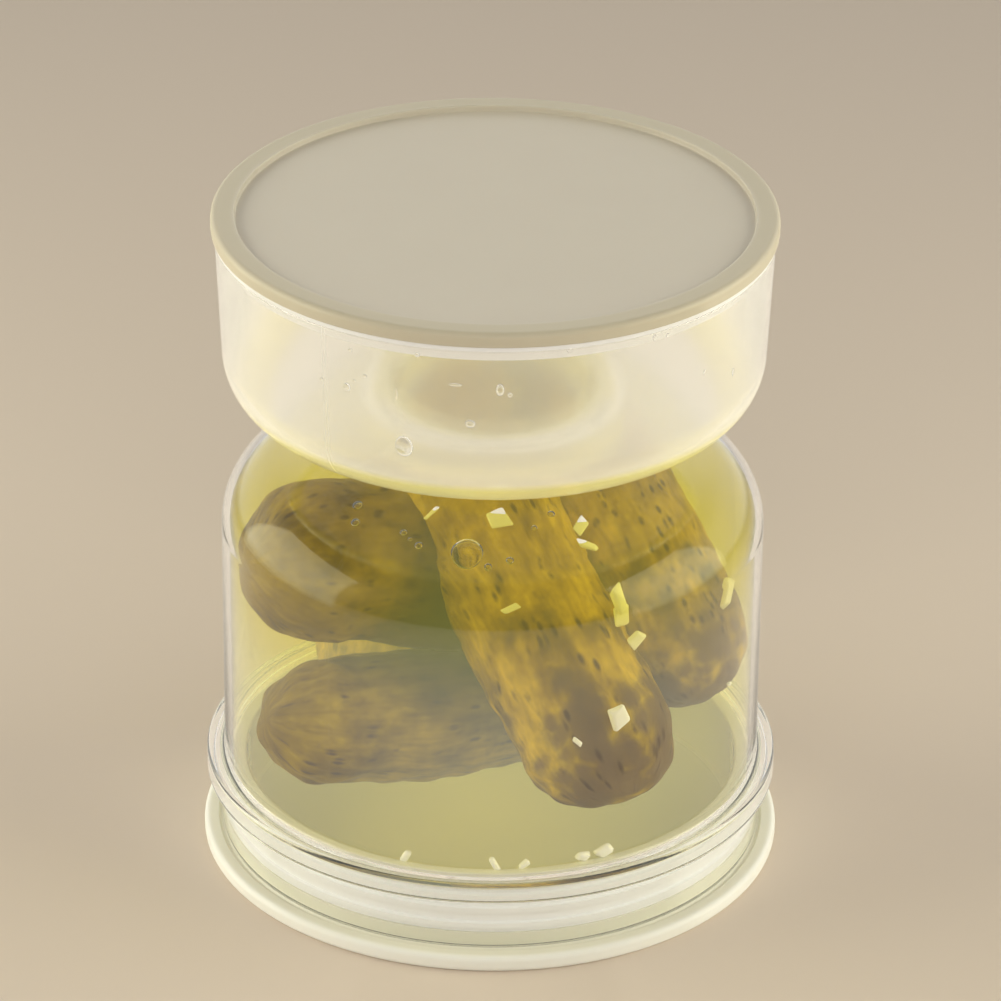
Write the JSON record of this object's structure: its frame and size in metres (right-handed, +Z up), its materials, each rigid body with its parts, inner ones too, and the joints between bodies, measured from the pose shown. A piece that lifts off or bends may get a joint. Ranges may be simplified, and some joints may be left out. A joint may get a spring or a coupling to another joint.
{
  "type": "pickle keeper with lift-out strainer",
  "caption": "Flip-over pickle keeper: tall pickle chamber and shallow brine chamber screwed together at a waist with a lift-out strainer, closed by press-in lids with silicone seals.",
  "frame": {"origin": "centre of the base lid's underside, on the surface that the keeper stands on", "axes": "+Z up along the keeper's axis of revolution; +X to the right and +Y away from the viewer"},
  "size_m": [0.118, 0.118, 0.1392],
  "materials": {
    "lid_plastic": "translucent off-white, satin",
    "white_silicone": "soft matte white",
    "clear_silicone": "translucent, soft",
    "clear_shell": "clear, moulded gloss",
    "frosted_shell": "milky translucent, moulded gloss",
    "strainer_plastic": "clear, moulded gloss",
    "filling_brine": "clear yellow liquid, in the visual model only",
    "filling_food": "wet pickled vegetable, in the visual model only"
  },
  "bodies": {
    "base": {"base_lid": "lid_plastic", "base_lid_seal": "white_silicone"},
    "pickle_chamber": {"lower_chamber": "clear_shell"},
    "waist_washer": {"waist_seal": "white_silicone"},
    "brine_chamber": {"upper_chamber": "frosted_shell"},
    "lift_strainer": {"strainer": "strainer_plastic"},
    "top_cap": {"top_lid": "lid_plastic", "top_lid_seal": "clear_silicone"}
  },
  "joints": [
    {"name": "chamber_lift", "type": "slide", "parent": "base", "child": "pickle_chamber", "axis": [0, 0, 1], "range_m": [0, 0.024]},
    {"name": "unscrew_turn", "type": "hinge", "parent": "pickle_chamber", "child": "waist_washer", "pos_m": [0, 0, 0.0976], "axis": [0, 0, 1], "range_deg": [0, 360]},
    {"name": "unscrew_rise", "type": "slide", "parent": "waist_washer", "child": "brine_chamber", "axis": [0, 0, 1], "range_m": [0, 0.008]},
    {"name": "strainer_lift", "type": "slide", "parent": "brine_chamber", "child": "lift_strainer", "axis": [0, 0, 1], "range_m": [0, 0.028]},
    {"name": "top_lid_lift", "type": "slide", "parent": "brine_chamber", "child": "top_cap", "axis": [0, 0, 1], "range_m": [0, 0.02]}
  ],
  "couplings": [
    {"joint": "unscrew_rise", "follows": "unscrew_turn", "m_per_rad": 0.001273}
  ]
}
